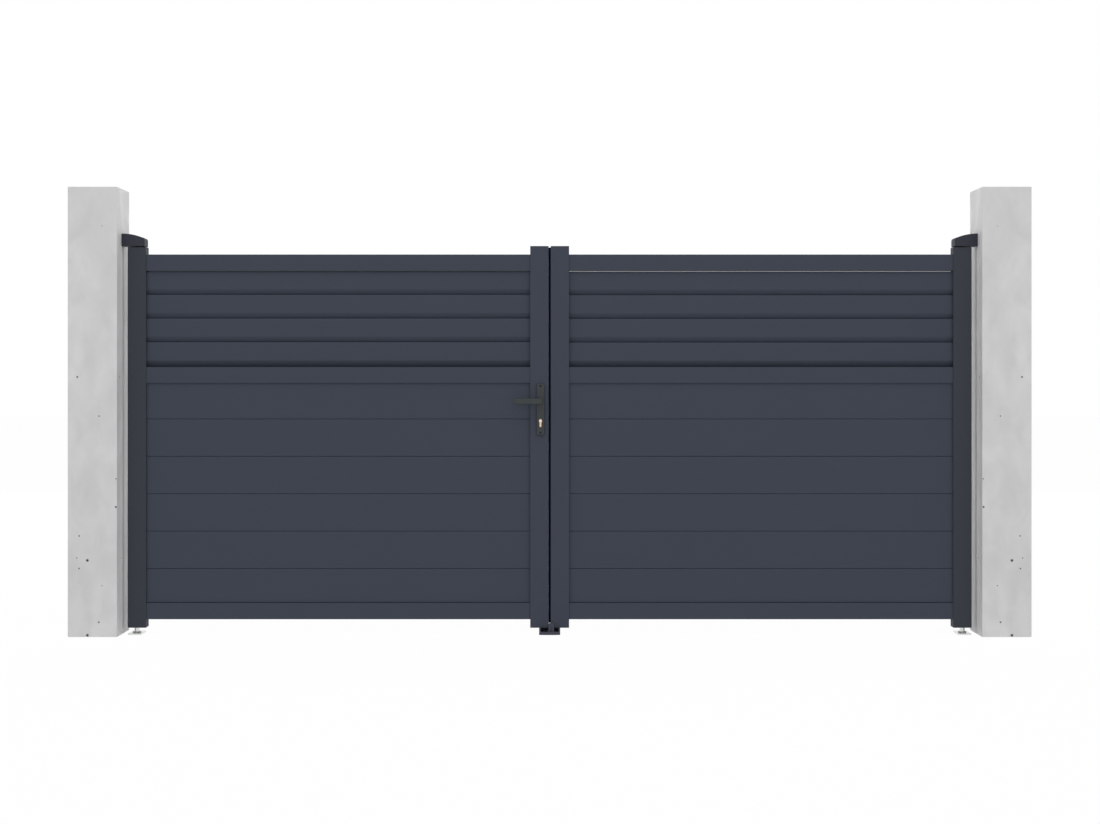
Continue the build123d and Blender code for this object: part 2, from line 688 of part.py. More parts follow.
def meeting_seal():
    """Strip on the right leaf's meeting edge that fills most of the gap."""
    edge_x = middle_x + MEETING_GAP / 2
    low_x = middle_x - MEETING_GAP / 2 + SEAL_RUN_CLEARANCE
    strip = box_between(
        (low_x, SEAL_FRONT_Y, stile_foot + SEAL_FOOT_SETBACK),
        (edge_x, SEAL_FRONT_Y + SEAL_DEPTH, stile_head - SEAL_TOP_SETBACK),
    )
    lip = strip.edges().filter_by(Axis.Z).sort_by(Axis.X)[:2]
    return fillet(lip, SEAL_ROUND)


def to_back(piece):
    """Mirror image of a front piece about the leaf's middle plane."""
    return mirror(piece, about=Plane.XZ)


# Every named piece
pieces = {}
pieces["left_pillar"] = pillar()
pieces["left_hinge_bracket"] = hinge_bracket()
pieces["left_hinge_cover"] = hinge_cover()
pieces["left_bottom_pivot"] = bottom_pivot()
pieces["left_pivot_nut"] = pivot_nut()
pieces["left_hinge_stile"] = Pos(hinge_stile_x, 0, 0) * stile_tube(hinge_head)
pieces["left_top_rail"] = rail(top_rail_low, RAIL_HEIGHT, 0.0, 0.0)
pieces["left_mid_rail"] = rail(mid_rail_low, MID_RAIL_HEIGHT, board_head_groove, slat_foot_groove)
pieces["left_bottom_rail"] = rail(bottom_rail_low, RAIL_HEIGHT, 0.0, board_foot_groove)
pieces["left_boards"] = boards()
pieces["left_pivot_bushes"] = pivot_bushes()
pieces["left_stile_caps"] = stile_caps()

for name in list(pieces):
    pieces[name.replace("left_", "right_")] = to_right(pieces[name])

pieces["left_louvre_slats"] = slats(0.0)
pieces["right_louvre_slats"] = to_right(slats(RIGHT_SLAT_DROP))
pieces["left_lock_stile"] = lock_stile_with_lock()
pieces["right_lock_stile"] = to_right(lock_stile())
pieces["ground_stop"] = ground_stop()
pieces["front_handle_plate"] = handle_plate()
pieces["back_handle_plate"] = to_back(handle_plate())
pieces["front_lever"] = lever()
pieces["back_lever"] = to_back(lever())
pieces["lever_spindle"] = lever_spindle()
pieces["lock_cylinder"] = lock_cylinder()
pieces["key_plugs"] = Compound(children=[key_plug(), to_back(key_plug())])
pieces["lock_faceplate"] = faceplate()
pieces["lock_bolts"] = lock_bolts()
pieces["strike_plate"] = to_right(faceplate())
pieces["meeting_seal"] = meeting_seal()

for name, piece in pieces.items():
    export_step(piece, f"parts/{name}.step")
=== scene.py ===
import json
import math

import bmesh
import bpy
from mathutils import Matrix, Vector


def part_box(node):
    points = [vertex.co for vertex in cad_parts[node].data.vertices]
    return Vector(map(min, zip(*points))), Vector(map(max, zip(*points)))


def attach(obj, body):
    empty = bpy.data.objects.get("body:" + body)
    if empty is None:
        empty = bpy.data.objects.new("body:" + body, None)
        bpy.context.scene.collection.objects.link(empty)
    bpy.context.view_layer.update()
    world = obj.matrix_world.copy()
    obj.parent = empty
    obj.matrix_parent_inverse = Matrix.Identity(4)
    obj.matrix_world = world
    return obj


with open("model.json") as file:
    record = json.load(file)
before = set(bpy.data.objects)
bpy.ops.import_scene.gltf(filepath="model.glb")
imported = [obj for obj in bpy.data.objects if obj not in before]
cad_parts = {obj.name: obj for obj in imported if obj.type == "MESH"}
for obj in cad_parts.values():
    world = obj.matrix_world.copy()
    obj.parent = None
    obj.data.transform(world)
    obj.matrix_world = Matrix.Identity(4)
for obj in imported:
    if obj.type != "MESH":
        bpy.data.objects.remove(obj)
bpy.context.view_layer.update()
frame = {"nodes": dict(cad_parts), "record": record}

# Double-leaf swing gate in a dark powder coat, between two cast concrete pillars.
# Metres, X along the gate, Y away from the viewer, Z up, as in the CAD frame.

# Camera, worked out in the photograph's 1100 by 824 pixels
PICTURE_WIDTH = 1100
CAMERA_PLACE = (1.851, -6.949, 1.048)
FOCAL_PIXELS = 1693.2
SENSOR_WIDTH = 36.0
HORIZON_ROW = 378.0
MIDDLE_ROW = 412.0
AXIS_COLUMN = 549.9
MIDDLE_COLUMN = 550.0

# Light
SURROUND_FRONT = 0.99
SURROUND_FRONT_SIDES = 0.60
SURROUND_BACK_SIDES = 1.60
TOP_LAMP_POWER = 87.0
TOP_LAMP_PLACE = (1.85, -2.5, 6.0)
TOP_LAMP_SIZE = (6.0, 3.0)
BACK_LAMP_POWER = 790.0
BACK_LAMP_PLACE = (1.85, 9.0, 1.7)
BACK_LAMP_SIZE = (6.0, 4.0)
LAMP_AIM = (1.85, 0.0, 0.9)
FLOOR_TONE = 0.94
FLOOR_GLOW = 0.97

# Colours, linear
COAT_COLOUR = (0.0506, 0.0590, 0.0799)
# Painted shade: the hinge stiles get a darker copy of the coat colour for the shade the pillars cast on
# them
HINGE_STILE_SHADED_COLOUR = (0.0459, 0.0500, 0.0626)
COVER_COLOUR = (0.0262, 0.0283, 0.0410)
HANDLE_COLOUR = (0.0309, 0.0355, 0.0366)
NYLON_COLOUR = (0.0280, 0.0330, 0.0440)
STOP_COLOUR = (0.0506, 0.0519, 0.0760)
BRACKET_COLOUR = (0.0030, 0.0032, 0.0036)
CONCRETE_COLOUR = (0.6220, 0.6210, 0.6235)
# Painted shade inside the concrete's pores
PORE_SHADE_COLOUR = (0.035, 0.035, 0.037)
ZINC_COLOUR = (0.72, 0.74, 0.72)
# Darker steel for the plated parts, partly painted shade for the shaded sides of the pivot nuts
STEEL_AND_SHADE_COLOUR = (0.30, 0.305, 0.295)
BRASS_COLOUR = (0.86, 0.64, 0.47)
# Painted shade on the edges of the lock cylinder's stem
PAINTED_EDGE_SHADE_COLOUR = (0.22, 0.09, 0.035)
NICKEL_COLOUR = (0.80, 0.74, 0.75)
RUBBER_COLOUR = (0.0120, 0.0185, 0.0380)
DUST_COLOUR = (0.30, 0.29, 0.27)

# The right pillar is cast in the left one's mirrored mould
MIRROR_X = 1.85

# Middle and half width of the lock cylinder's stem, for its painted edge shade
LOCK_X = 1.8125
LOCK_HALF_WIDTH = 0.0050

# Open pores of the left pillar: place and radius
PORE_PLACES = (
    (-0.061, -0.100, 1.052, 0.0030),
    (0.100, -0.057, 1.052, 0.0030),
    (0.027, -0.100, 0.894, 0.0022),
    (0.096, -0.100, 0.640, 0.0022),
    (0.095, -0.100, 0.526, 0.0034),
    (-0.053, -0.100, 0.409, 0.0024),
    (-0.063, -0.100, 0.320, 0.0018),
    (-0.020, -0.100, 0.310, 0.0046),
    (0.100, -0.032, 0.313, 0.0028),
    (-0.054, -0.100, 0.277, 0.0024),
    (0.039, -0.100, 0.208, 0.0018),
    (0.026, -0.100, 0.060, 0.0028),
    (-0.020, -0.100, 0.007, 0.0046),
    (0.100, -0.032, 0.010, 0.0030),
    (0.039, -0.100, 1.663, 0.0014),
)

# Fastenings and rubber trims, metres
PLATE_SCREW_EDGE = 0.0095
PLATE_SCREW_RECESS = 0.0030
PLATE_SCREW_SCALE = 1.12
SCREW_RADIUS = 0.0031
SCREW_HEIGHT = 0.0026
SCREW_SOCKET = 0.0013
SCREW_SOCKET_DEPTH = 0.0014
SCREW_ROUND = 0.0006
SCREW_SIDES = 24
EDGE_SCREW_INSET = 0.0095
EDGE_SCREW_PROUD = 0.0003
STRIKE_SCREW_SHIFT = -0.004
PIVOT_PLATE_TOP = 0.005
PIVOT_ANCHOR_SCALE = 1.7
PIVOT_ANCHOR_PROUD = 0.0006
PIVOT_ANCHOR_EDGE = 0.010
STOP_FLOOR_TOP = 0.005
STOP_ANCHOR_SIDE = 0.013
STOP_ANCHOR_BACK = 0.012
WASHER_RADIUS = 0.0098
WASHER_HEIGHT = 0.0016
WASHER_ROUND = 0.0004
ANCHOR_FLATS = 0.016
ANCHOR_HEIGHT = 0.0050
ANCHOR_ROUND = 0.0008
ANCHOR_SINK = 0.0003
LIP_REACH = 0.00095
LIP_ROOT = 0.0007
LIP_THICKNESS = 0.0026
LIP_INSET = 0.0020
LIP_ROUND = 0.0006
SEAL_TAIL = 0.0019
GASKET_HEIGHT = 0.0024
GASKET_DEPTH = 0.0030
GASKET_ROUND = 0.0012


# Numbers of the patterns
NOISE_SPREAD = 4.0
PINHOLE_EDGE = 1.35
PORE_EDGE = 1.6
NO_PORE = 10.0
DUST_SLOPE = 0.35
DUST_SCALE = 45.0
DUST_PATCHES = 1.6
SURROUND_TURN = 0.5

# Numbers of the shapes and the floor
SAME_PLACE = 1e-6
WASHER_SIDES = 32
HEXAGON_SIDES = 6
FLOOR_HALF_SIZE = 40.0


# Small helpers for node trees
def place_node(tree, kind, **settings):
    """Adds a node and sets its plain properties."""
    node = tree.nodes.new(kind)
    for key, value in settings.items():
        setattr(node, key, value)
    return node


def math_node(tree, operation, first, second=None, clamp=False):
    """Math node whose inputs are sockets or numbers; gives its output."""
    node = place_node(tree, "ShaderNodeMath", operation=operation, use_clamp=clamp)
    for index, value in enumerate((first, second)):
        if value is None:
            continue
        if isinstance(value, (int, float)):
            node.inputs[index].default_value = value
        else:
            tree.links.new(value, node.inputs[index])
    return node.outputs[0]


def scaled_vector(tree, vector, size):
    """Vector divided by a size socket, so that a pattern is given in metres."""
    inverse = math_node(tree, "DIVIDE", 1.0, size)
    node = place_node(tree, "ShaderNodeVectorMath", operation="SCALE")
    tree.links.new(vector, node.inputs[0])
    tree.links.new(inverse, node.inputs["Scale"])
    return node.outputs[0]


def sized_noise(tree, vector, size):
    """Noise texture whose patches have about the size that a socket gives."""
    noise = place_node(tree, "ShaderNodeTexNoise")
    noise.inputs["Scale"].default_value = 1.0
    tree.links.new(scaled_vector(tree, vector, size), noise.inputs["Vector"])
    return noise


def axis_of(tree, vector, axis):
    """One coordinate of a vector socket."""
    split = place_node(tree, "ShaderNodeSeparateXYZ")
    tree.links.new(vector, split.inputs[0])
    return split.outputs[axis]


def start_group(name, inputs, outputs):
    """Shader node group with named sockets; gives the tree and its two ends."""
    tree = bpy.data.node_groups.new(name, "ShaderNodeTree")
    for socket_name, kind, value in inputs:
        socket = tree.interface.new_socket(socket_name, in_out="INPUT", socket_type=kind)
        if value is not None:
            socket.default_value = value
    for socket_name, kind in outputs:
        tree.interface.new_socket(socket_name, in_out="OUTPUT", socket_type=kind)
    entry = place_node(tree, "NodeGroupInput")
    leave = place_node(tree, "NodeGroupOutput")
    return tree, entry.outputs, leave.inputs


VECTOR = "NodeSocketVector"
NUMBER = "NodeSocketFloat"


def cloudy_tone_group():
    """Soft light and dark patches: a multiplier near one."""
    tree, given, wanted = start_group(
        "cloudy_tone",
        [
            ("Vector", VECTOR, None),
            ("Patch Size", NUMBER, 0.2),
            ("Contrast", NUMBER, 0.03),
            ("Swirl", NUMBER, 0.0),
            ("Detail", NUMBER, 4.0),
        ],
        [("Tone", NUMBER)],
    )
    noise = sized_noise(tree, given["Vector"], given["Patch Size"])
    noise.inputs["Roughness"].default_value = 0.55
    tree.links.new(given["Swirl"], noise.inputs["Distortion"])
    tree.links.new(given["Detail"], noise.inputs["Detail"])
    centred = math_node(tree, "SUBTRACT", noise.outputs["Fac"], 0.5)
    spread = math_node(tree, "MULTIPLY", centred, NOISE_SPREAD)
    scaled = math_node(tree, "MULTIPLY", spread, given["Contrast"])
    tree.links.new(math_node(tree, "ADD", scaled, 1.0), wanted["Tone"])
    return tree


def fine_grain_group():
    """Even grain of one size, from 0 to 1, for bump and roughness."""
    tree, given, wanted = start_group(
        "fine_grain",
        [("Vector", VECTOR, None), ("Grain Size", NUMBER, 0.001)],
        [("Height", NUMBER)],
    )
    noise = sized_noise(tree, given["Vector"], given["Grain Size"])
    noise.inputs["Detail"].default_value = 2.0
    tree.links.new(noise.outputs["Fac"], wanted["Height"])
    return tree


def air_pores_group():
    """Scattered round pores: a mask that is 1 in a pore and 0 outside."""
    tree, given, wanted = start_group(
        "air_pores",
        [
            ("Vector", VECTOR, None),
            ("Spacing", NUMBER, 0.05),
            ("Pore Radius", NUMBER, 0.002),
            ("Share", NUMBER, 0.4),
        ],
        [("Mask", NUMBER)],
    )
    cells = place_node(tree, "ShaderNodeTexVoronoi", feature="F1")
    cells.inputs["Scale"].default_value = 1.0
    tree.links.new(scaled_vector(tree, given["Vector"], given["Spacing"]), cells.inputs["Vector"])
    colour = place_node(tree, "ShaderNodeSeparateColor")
    tree.links.new(cells.outputs["Color"], colour.inputs[0])
    away = math_node(tree, "MULTIPLY", cells.outputs["Distance"], given["Spacing"])
    size = math_node(tree, "MULTIPLY", colour.outputs[1], given["Pore Radius"])
    inside = math_node(tree, "DIVIDE", away, size)
    depth = math_node(tree, "SUBTRACT", PINHOLE_EDGE, inside, clamp=True)
    picked = math_node(tree, "LESS_THAN", colour.outputs[0], given["Share"])
    tree.links.new(math_node(tree, "MULTIPLY", depth, picked), wanted["Mask"])
    return tree


def settled_dust_group():
    """Thin dust on upward faces and in patches: a mask from 0 to 1."""
    tree, given, wanted = start_group(
        "settled_dust",
        [("Vector", VECTOR, None), ("Normal", VECTOR, None), ("Amount", NUMBER, 0.2)],
        [("Mask", NUMBER)],
    )
    upward = math_node(tree, "SUBTRACT", axis_of(tree, given["Normal"], "Z"), DUST_SLOPE, clamp=True)
    noise = place_node(tree, "ShaderNodeTexNoise")
    noise.inputs["Scale"].default_value = DUST_SCALE
    noise.inputs["Detail"].default_value = 5.0
    tree.links.new(given["Vector"], noise.inputs["Vector"])
    patchy = math_node(tree, "MULTIPLY", noise.outputs["Fac"], DUST_PATCHES)
    dusty = math_node(tree, "MULTIPLY", upward, patchy)
    tree.links.new(math_node(tree, "MULTIPLY", dusty, given["Amount"], clamp=True), wanted["Mask"])
    return tree


def drawn_lines_group():
    """Fine parallel lines along the third axis, from 0 to 1, for worked metal."""
    tree, given, wanted = start_group(
        "drawn_lines",
        [("Vector", VECTOR, None), ("Line Size", NUMBER, 0.0006), ("Stretch", NUMBER, 0.04)],
        [("Height", NUMBER)],
    )
    squeeze = place_node(tree, "ShaderNodeCombineXYZ")
    squeeze.inputs["X"].default_value = 1.0
    squeeze.inputs["Y"].default_value = 1.0
    tree.links.new(given["Stretch"], squeeze.inputs["Z"])
    pulled = place_node(tree, "ShaderNodeVectorMath", operation="MULTIPLY")
    tree.links.new(given["Vector"], pulled.inputs[0])
    tree.links.new(squeeze.outputs[0], pulled.inputs[1])
    noise = sized_noise(tree, pulled.outputs[0], given["Line Size"])
    noise.inputs["Detail"].default_value = 3.0
    tree.links.new(noise.outputs["Fac"], wanted["Height"])
    return tree


groups = {
    "cloudy_tone": cloudy_tone_group(),
    "fine_grain": fine_grain_group(),
    "air_pores": air_pores_group(),
    "settled_dust": settled_dust_group(),
    "drawn_lines": drawn_lines_group(),
}


class Finish:
    """One material with its Principled shader, its coordinates and a few wiring calls."""

    def __init__(self, name, colour, roughness, metallic=0.0, specular=0.5):
        self.material = bpy.data.materials.new(name)
        self.material.use_nodes = True
        self.tree = self.material.node_tree
        self.shader = self.tree.nodes["Principled BSDF"]
        self.shader.inputs["Base Color"].default_value = (*colour, 1.0)
        self.shader.inputs["Roughness"].default_value = roughness
        self.shader.inputs["Metallic"].default_value = metallic
        self.shader.inputs["Specular IOR Level"].default_value = specular
        self.colour = colour
        self.roughness = roughness
        coordinates = place_node(self.tree, "ShaderNodeTexCoord")
        self.vector = coordinates.outputs["Object"]
        self.normal = coordinates.outputs["Normal"]

    def fold(self, middle_x):
        """Mirrors the coordinates of everything past a middle plane onto this side of it."""
        split = place_node(self.tree, "ShaderNodeSeparateXYZ")
        self.tree.links.new(self.vector, split.inputs[0])
        away = self.maths("ABSOLUTE", self.maths("SUBTRACT", split.outputs["X"], middle_x))
        joined = place_node(self.tree, "ShaderNodeCombineXYZ")
        self.tree.links.new(self.maths("SUBTRACT", middle_x, away), joined.inputs["X"])
        self.tree.links.new(split.outputs["Y"], joined.inputs["Y"])
        self.tree.links.new(split.outputs["Z"], joined.inputs["Z"])
        self.vector = joined.outputs[0]

    def pulled(self, *factors):
        """Coordinates multiplied along X, Y and Z, so that a pattern is drawn out."""
        node = place_node(self.tree, "ShaderNodeVectorMath", operation="MULTIPLY")
        self.tree.links.new(self.vector, node.inputs[0])
        node.inputs[1].default_value = factors
        return node.outputs[0]

    def group(self, name, output, vector=None, **values):
        """Places a shared group, sets its named numbers and gives one output."""
        node = place_node(self.tree, "ShaderNodeGroup", node_tree=groups[name])
        self.tree.links.new(vector or self.vector, node.inputs["Vector"])
        if "Normal" in node.inputs:
            self.tree.links.new(self.normal, node.inputs["Normal"])
        for key, value in values.items():
            node.inputs[key.replace("_", " ")].default_value = value
        return node.outputs[output]

    def maths(self, operation, first, second=None):
        """Math on two sockets or numbers."""
        return math_node(self.tree, operation, first, second)

    def toned(self, *tones):
        """Base colour times every tone multiplier; gives the colour socket."""
        total = tones[0]
        for tone in tones[1:]:
            total = self.maths("MULTIPLY", total, tone)
        node = place_node(self.tree, "ShaderNodeVectorMath", operation="SCALE")
        node.inputs[0].default_value = self.colour
        self.tree.links.new(total, node.inputs["Scale"])
        return node.outputs[0]

    def mixed(self, colour, other, mask):
        """Colour socket mixed towards a fixed colour by a mask."""
        node = place_node(self.tree, "ShaderNodeMix", data_type="RGBA")
        self.tree.links.new(mask, node.inputs["Factor"])
        self.tree.links.new(colour, node.inputs["A"])
        node.inputs["B"].default_value = (*other, 1.0)
        return node.outputs["Result"]

    def set_colour(self, socket):
        """Colour of the surface from a socket."""
        self.tree.links.new(socket, self.shader.inputs["Base Color"])

    def set_roughness(self, spread, height):
        """Roughness that moves with a height about the finish's own."""
        moved = self.maths("MULTIPLY", self.maths("SUBTRACT", height, 0.5), spread)
        self.tree.links.new(self.maths("ADD", moved, self.roughness), self.shader.inputs["Roughness"])

    def set_bump(self, height, distance):
        """Fine relief from a height, of a depth in metres."""
        node = place_node(self.tree, "ShaderNodeBump")
        node.inputs["Distance"].default_value = distance
        node.inputs["Strength"].default_value = 1.0
        self.tree.links.new(height, node.inputs["Height"])
        self.tree.links.new(node.outputs[0], self.shader.inputs["Normal"])


def powder_coat(name, colour, patch_size, grain_size):
    """Dark satin powder coat with a fine orange-peel skin and a little dust on ledges."""
    finish = Finish(name, colour, 0.55, specular=0.08)
    patches = finish.group("cloudy_tone", "Tone", Patch_Size=patch_size, Contrast=0.012)
    speckle = finish.group("cloudy_tone", "Tone", Patch_Size=0.004, Contrast=0.02)
    grain = finish.group("fine_grain", "Height", Grain_Size=grain_size)
    dust = finish.group("settled_dust", "Mask", Amount=0.05)
    finish.set_colour(finish.mixed(finish.toned(patches, speckle), DUST_COLOUR, dust))
    finish.set_roughness(0.12, grain)
    finish.set_bump(grain, 0.00012)
    return finish.material


def open_pores(finish, places):
    """Mask that is 1 inside the pores at the given places and 0 outside."""
    nearest = NO_PORE
    for *place, radius in places:
        node = place_node(finish.tree, "ShaderNodeVectorMath", operation="DISTANCE")
        finish.tree.links.new(finish.vector, node.inputs[0])
        node.inputs[1].default_value = place
        away = finish.maths("DIVIDE", node.outputs["Value"], radius)
        nearest = finish.maths("MINIMUM", away, nearest)
    return math_node(finish.tree, "SUBTRACT", PORE_EDGE, nearest, clamp=True)


def reveal_streaks(finish):
    """Upright streaks left by the mould on the pillars' sides: a multiplier near one."""
    drawn = finish.pulled(1.0, 1.0, 0.03)
    streaks = finish.group("cloudy_tone", "Tone", vector=drawn, Patch_Size=0.011, Contrast=0.08)
    sideways = finish.maths("ABSOLUTE", axis_of(finish.tree, finish.normal, "X"))
    change = finish.maths("MULTIPLY", finish.maths("SUBTRACT", streaks, 1.0), sideways)
    return finish.maths("ADD", change, 1.0)


def cast_concrete(name):
    """Pale cast concrete with smoky tones, sand speckle, streaked sides and a few open pores, painted
    dark as the shade inside them.
    """
    finish = Finish(name, CONCRETE_COLOUR, 0.85, specular=0.3)
    finish.fold(MIRROR_X)
    rising = finish.pulled(1.0, 1.0, 0.6)
    clouds = finish.group(
        "cloudy_tone", "Tone", vector=rising, Patch_Size=0.13, Contrast=0.085, Swirl=0.6, Detail=1.5
    )
    wisps = finish.group(
        "cloudy_tone", "Tone", vector=rising, Patch_Size=0.05, Contrast=0.030, Swirl=0.8, Detail=1.0
    )
    sand = finish.group("cloudy_tone", "Tone", Patch_Size=0.0022, Contrast=0.03)
    pinholes = finish.group("air_pores", "Mask", Spacing=0.05, Pore_Radius=0.0016, Share=0.25)
    faint = finish.maths("MULTIPLY", pinholes, 0.3)
    # Pores and pinholes are dented and painted dark: painted shade inside the holes
    pores = finish.maths("MAXIMUM", open_pores(finish, PORE_PLACES), faint)
    skin = finish.group("fine_grain", "Height", Grain_Size=0.003)
    colour = finish.toned(clouds, wisps, sand, reveal_streaks(finish))
    finish.set_colour(finish.mixed(colour, PORE_SHADE_COLOUR, pores))
    finish.set_roughness(0.12, skin)
    raised = finish.maths("SUBTRACT", finish.maths("MULTIPLY", skin, 0.15), pores)
    finish.set_bump(raised, 0.0016)
    return finish.material


def moulded_plastic(name, colour, roughness):
    """Moulded plastic with a fine spark-eroded grain."""
    finish = Finish(name, colour, roughness, specular=0.3)
    patches = finish.group("cloudy_tone", "Tone", Patch_Size=0.03, Contrast=0.03)
    grain = finish.group("fine_grain", "Height", Grain_Size=0.0007)
    dust = finish.group("settled_dust", "Mask", Amount=0.06)
    finish.set_colour(finish.mixed(finish.toned(patches), DUST_COLOUR, dust))
    finish.set_roughness(0.15, grain)
    finish.set_bump(grain, 0.00018)
    return finish.material


def handle_lacquer(name):
    """Warm dark grey lacquer of the handle set, smoother than the leaves' coat."""
    finish = Finish(name, HANDLE_COLOUR, 0.34, specular=0.35)
    patches = finish.group("cloudy_tone", "Tone", Patch_Size=0.02, Contrast=0.04)
    grain = finish.group("fine_grain", "Height", Grain_Size=0.0006)
    finish.set_colour(finish.toned(patches))
    finish.set_roughness(0.10, grain)
    finish.set_bump(grain, 0.00006)
    return finish.material


def cast_iron_black(name, colour, specular):
    """Blackened iron with a rough sand skin and dust where it settles."""
    finish = Finish(name, colour, 0.6, specular=specular)
    patches = finish.group("cloudy_tone", "Tone", Patch_Size=0.02, Contrast=0.10)
    skin = finish.group("fine_grain", "Height", Grain_Size=0.0016)
    dust = finish.group("settled_dust", "Mask", Amount=0.12)
    finish.set_colour(finish.mixed(finish.toned(patches), DUST_COLOUR, dust))
    finish.set_roughness(0.2, skin)
    finish.set_bump(skin, 0.0006)
    return finish.material


def bright_metal(name, colour, roughness, line_size, line_depth):
    """Worked metal with fine lines, cloudy tarnish and uneven polish."""
    finish = Finish(name, colour, roughness, metallic=1.0)
    tarnish = finish.group("cloudy_tone", "Tone", Patch_Size=0.012, Contrast=0.06)
    lines = finish.group("drawn_lines", "Height", Line_Size=line_size)
    finish.set_colour(finish.toned(tarnish))
    finish.set_roughness(0.16, lines)
    finish.set_bump(lines, line_depth)
    return finish.material


def lock_brass(name, middle_x, half_width):
    """Brass with painted shade, brown towards the stem's edges, and a painted highlight along its
    middle, for light on a rounded stem.
    """
    finish = Finish(name, BRASS_COLOUR, 0.26, metallic=1.0)
    cloud = finish.group("cloudy_tone", "Tone", Patch_Size=0.006, Contrast=0.05)
    lines = finish.group("drawn_lines", "Height", Line_Size=0.0005)
    # Painted shade and highlight: the brass turns brown away from the stem's middle, for light on a
    # rounded body
    across = finish.maths("SUBTRACT", axis_of(finish.tree, finish.vector, "X"), middle_x)
    away = finish.maths("ABSOLUTE", across)
    edge = finish.maths("POWER", finish.maths("DIVIDE", away, half_width), 1.6)
    painted_edge_shade = math_node(finish.tree, "MULTIPLY", edge, cloud, clamp=True)
    finish.set_colour(finish.mixed(finish.toned(cloud), PAINTED_EDGE_SHADE_COLOUR, painted_edge_shade))
    finish.set_roughness(0.16, lines)
    finish.set_bump(lines, 0.00003)
    return finish.material


def soft_rubber(name):
    """Matt black seal rubber with a faint extruded line."""
    finish = Finish(name, RUBBER_COLOUR, 0.85, specular=0.05)
    patches = finish.group("cloudy_tone", "Tone", Patch_Size=0.05, Contrast=0.08)
    lines = finish.group("drawn_lines", "Height", Line_Size=0.0008)
    finish.set_colour(finish.toned(patches))
    finish.set_roughness(0.15, lines)
    finish.set_bump(lines, 0.00015)
    return finish.material


finishes = {
    "concrete": cast_concrete("cast_concrete"),
    "coated_frame": powder_coat("coated_frame", COAT_COLOUR, 0.30, 0.0011),
    # The hinge stiles' darker coat is painted shade from the pillars
    "coated_hinge_stiles": powder_coat("coated_hinge_stiles", HINGE_STILE_SHADED_COLOUR, 0.30, 0.0011),
    "coated_boards": powder_coat("coated_boards", COAT_COLOUR, 0.45, 0.0012),
    "coated_slats": powder_coat("coated_slats", COAT_COLOUR, 0.25, 0.0010),
    "moulded_cover": moulded_plastic("moulded_cover", COVER_COLOUR, 0.6),
    "nylon_block": moulded_plastic("nylon_block", NYLON_COLOUR, 0.45),
    "zinc_steel": bright_metal("zinc_steel", ZINC_COLOUR, 0.28, 0.0012, 0.00006),
    "cast_stop": cast_iron_black("cast_stop", STOP_COLOUR, 0.3),
    "painted_bracket": cast_iron_black("painted_bracket", BRACKET_COLOUR, 0.08),
    "handle_coat": handle_lacquer("handle_coat"),
    "brass": lock_brass("brass", LOCK_X, LOCK_HALF_WIDTH),
    "nickel_plug": bright_metal("nickel_plug", NICKEL_COLOUR, 0.22, 0.0005, 0.00003),
    # steel_plate's darker colour is partly painted shade on the pivot nuts
    "steel_plate": bright_metal("steel_plate", STEEL_AND_SHADE_COLOUR, 0.32, 0.0006, 0.00004),
    "black_rubber": soft_rubber("black_rubber"),
}

for subpart in frame["record"]["subparts"]:
    for slot in frame["nodes"][subpart["node"]].material_slots:
        slot.material = finishes[subpart["material_slot"]]


def finished_piece(name, shape, slot, body):
    """Makes a modelled shape a piece with its finish that moves with a body."""
    bmesh.ops.recalc_face_normals(shape, faces=shape.faces)
    mesh = bpy.data.meshes.new(name)
    shape.to_mesh(mesh)
    shape.free()
    mesh.materials.append(finishes[slot])
    piece = bpy.data.objects.new(name, mesh)
    bpy.context.scene.collection.objects.link(piece)
    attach(piece, body)


def round_edges(shape, edges, size, steps):
    """Rounds the given edges."""
    bmesh.ops.bevel(
        shape, geom=list(edges), offset=size, offset_type="OFFSET", affect="EDGES",
        segments=steps, profile=0.5, material=-1,
    )


def highest_face(shape):
    """Face that lies highest."""
    return max(shape.faces, key=lambda face: face.calc_center_median().z)


def moved_verts(made):
    """Vertices among what an extrusion made."""
    return [part for part in made["geom"] if isinstance(part, bmesh.types.BMVert)]


def raised_disc(shape, radius, low, high, sides, softening):
    """Upright disc with a softened top rim."""
    ring = bmesh.ops.create_circle(
        shape, cap_ends=True, segments=sides, radius=radius, matrix=Matrix.Translation((0.0, 0.0, low))
    )
    foot = ring["verts"][0].link_faces[0]
    lifted = bmesh.ops.extrude_face_region(shape, geom=[foot])
    bmesh.ops.translate(shape, vec=(0.0, 0.0, high - low), verts=moved_verts(lifted))
    round_edges(shape, highest_face(shape).edges, softening, 2)


def hexagon_reach(direction, apothem):
    """Distance from the middle to a hexagon's side in a direction."""
    sixth = math.tau / HEXAGON_SIDES
    return apothem / math.cos((direction + sixth / 2) % sixth - sixth / 2)


def socket_screw():
    """Round screw head with a hexagon socket, standing on the origin."""
    shape = bmesh.new()
    raised_disc(shape, SCREW_RADIUS, 0.0, SCREW_HEIGHT, SCREW_SIDES, SCREW_ROUND)
    top = highest_face(shape)
    bmesh.ops.inset_individual(shape, faces=[top], thickness=SCREW_RADIUS - SCREW_ROUND - SCREW_SOCKET)
    for vert in top.verts:
        reach = hexagon_reach(math.atan2(vert.co.y, vert.co.x), SCREW_SOCKET)
        vert.co.xy = vert.co.xy.normalized() * reach
    floor = bmesh.ops.extrude_discrete_faces(shape, faces=[top])["faces"]
    bmesh.ops.translate(shape, vec=(0.0, 0.0, -SCREW_SOCKET_DEPTH), verts=floor[0].verts)
    bmesh.ops.poke(shape, faces=floor)
    return shape


